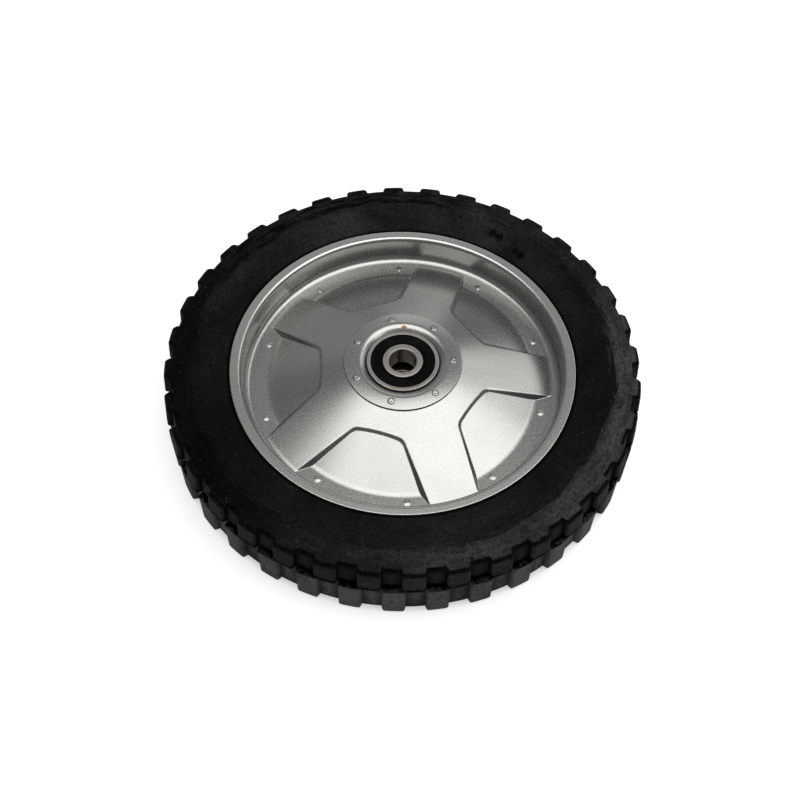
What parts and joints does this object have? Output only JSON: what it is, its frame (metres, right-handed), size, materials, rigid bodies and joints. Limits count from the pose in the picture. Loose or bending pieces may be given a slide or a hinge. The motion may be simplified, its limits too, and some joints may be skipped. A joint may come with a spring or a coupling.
{
  "type": "lawn mower wheel",
  "caption": "Small garden machine wheel with a block-tread rubber tyre on a pressed steel star rim and a flanged hub with sealed ball bearings for a plain axle.",
  "frame": {"origin": "on the wheel axis, halfway across the tyre", "axes": "+Z along the wheel axis, out of the star face; +X along one spoke of the star"},
  "size_m": [0.2078, 0.2078, 0.032],
  "materials": {
    "tyre_rubber": "matt, dusty",
    "rim_paint": "silver, satin",
    "hub_paint": "silver, satin",
    "bearing_steel": "ground",
    "seal_rubber": "satin",
    "cage_steel": "pressed",
    "ball_steel": "polished"
  },
  "bodies": {
    "wheel": {"tyre": "tyre_rubber", "front_rim": "rim_paint", "rear_rim": "rim_paint", "hub_sleeve": "hub_paint", "front_outer_ring": "bearing_steel", "front_seal_outside": "seal_rubber", "front_seal_inside": "seal_rubber", "rear_outer_ring": "bearing_steel", "rear_seal_outside": "seal_rubber", "rear_seal_inside": "seal_rubber"},
    "front_inner": {"front_inner_ring": "bearing_steel"},
    "front_balls": {"front_cage_upper": "cage_steel", "front_cage_lower": "cage_steel", "front_ball_1": "ball_steel", "front_ball_2": "ball_steel", "front_ball_3": "ball_steel", "front_ball_4": "ball_steel", "front_ball_5": "ball_steel", "front_ball_6": "ball_steel", "front_ball_7": "ball_steel"},
    "rear_inner": {"rear_inner_ring": "bearing_steel"},
    "rear_balls": {"rear_cage_upper": "cage_steel", "rear_cage_lower": "cage_steel", "rear_ball_1": "ball_steel", "rear_ball_2": "ball_steel", "rear_ball_3": "ball_steel", "rear_ball_4": "ball_steel", "rear_ball_5": "ball_steel", "rear_ball_6": "ball_steel", "rear_ball_7": "ball_steel"}
  },
  "joints": [
    {"name": "front_inner_ring_turn", "type": "hinge", "parent": "wheel", "child": "front_inner", "pos_m": [0, 0, 0.01], "axis": [0, 0, 1], "continuous": true},
    {"name": "front_ball_set_turn", "type": "hinge", "parent": "wheel", "child": "front_balls", "pos_m": [0, 0, 0.01], "axis": [0, 0, 1], "continuous": true},
    {"name": "rear_inner_ring_turn", "type": "hinge", "parent": "wheel", "child": "rear_inner", "pos_m": [0, 0, -0.0065], "axis": [0, 0, 1], "continuous": true},
    {"name": "rear_ball_set_turn", "type": "hinge", "parent": "wheel", "child": "rear_balls", "pos_m": [0, 0, -0.0065], "axis": [0, 0, 1], "continuous": true}
  ],
  "couplings": [
    {"joint": "front_ball_set_turn", "follows": "front_inner_ring_turn", "ratio": 0.36473},
    {"joint": "rear_ball_set_turn", "follows": "rear_inner_ring_turn", "ratio": 0.36473}
  ]
}
